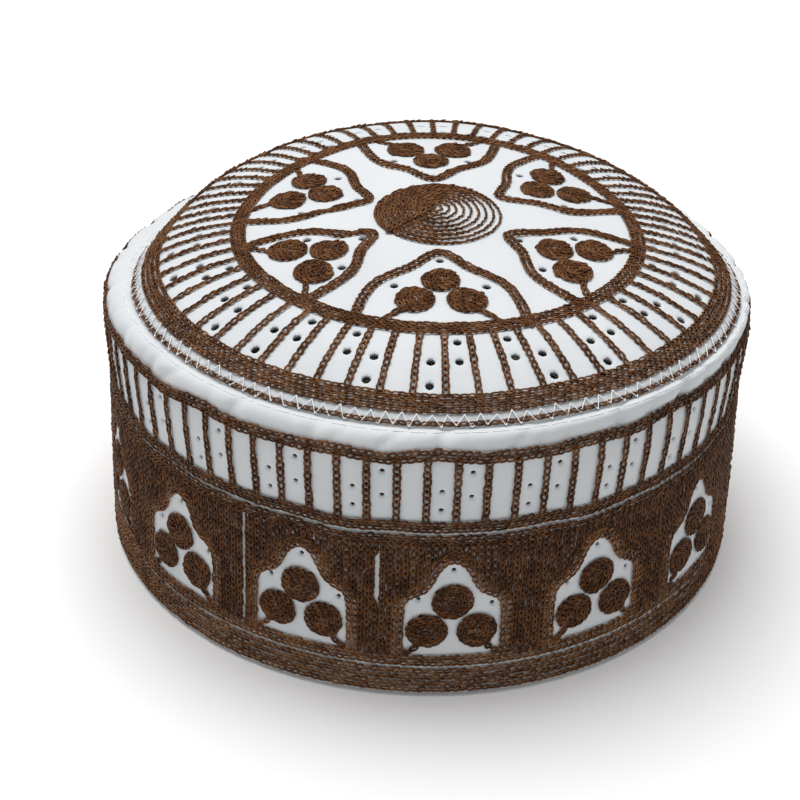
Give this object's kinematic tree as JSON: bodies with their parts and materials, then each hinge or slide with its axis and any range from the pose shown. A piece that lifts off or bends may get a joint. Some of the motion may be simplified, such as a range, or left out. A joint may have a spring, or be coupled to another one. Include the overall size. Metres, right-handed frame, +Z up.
{
  "type": "kufi",
  "caption": "Round brimless cap of white cloth with a low domed crown, a rolled shoulder and an upright wall, covered in brown chain-stitch embroidery; open below for a head.",
  "frame": {"origin": "centre of the rim's circle, on the surface that the cap stands on", "axes": "+Z up through the crown, -Y to the cap's front, +X to the right as seen from the front"},
  "size_m": [0.1866, 0.1866, 0.0989],
  "materials": {
    "white_cloth": "plain-woven white cotton, matte with a faint sheen",
    "brown_thread": "brown embroidery thread in chain stitch, soft silky sheen"
  },
  "bodies": {
    "root": {"side_band": "white_cloth", "crown_panel": "white_cloth", "crown_medallion": "brown_thread", "crown_ladder": "brown_thread", "crown_petal_1": "brown_thread", "crown_petal_2": "brown_thread", "crown_petal_3": "brown_thread", "crown_petal_4": "brown_thread", "crown_petal_5": "brown_thread", "crown_petal_6": "brown_thread", "crown_trefoil_1": "brown_thread", "crown_trefoil_2": "brown_thread", "crown_trefoil_3": "brown_thread", "crown_trefoil_4": "brown_thread", "crown_trefoil_5": "brown_thread", "crown_trefoil_6": "brown_thread", "side_ladder": "brown_thread", "side_ground": "brown_thread", "side_trefoil_1": "brown_thread", "side_trefoil_2": "brown_thread", "side_trefoil_3": "brown_thread", "side_trefoil_4": "brown_thread", "side_trefoil_5": "brown_thread", "side_trefoil_6": "brown_thread", "side_trefoil_7": "brown_thread", "side_trefoil_8": "brown_thread", "side_trefoil_9": "brown_thread", "side_trefoil_10": "brown_thread", "side_trefoil_11": "brown_thread", "side_trefoil_12": "brown_thread", "side_trefoil_13": "brown_thread", "side_trefoil_14": "brown_thread"}
  },
  "joints": []
}
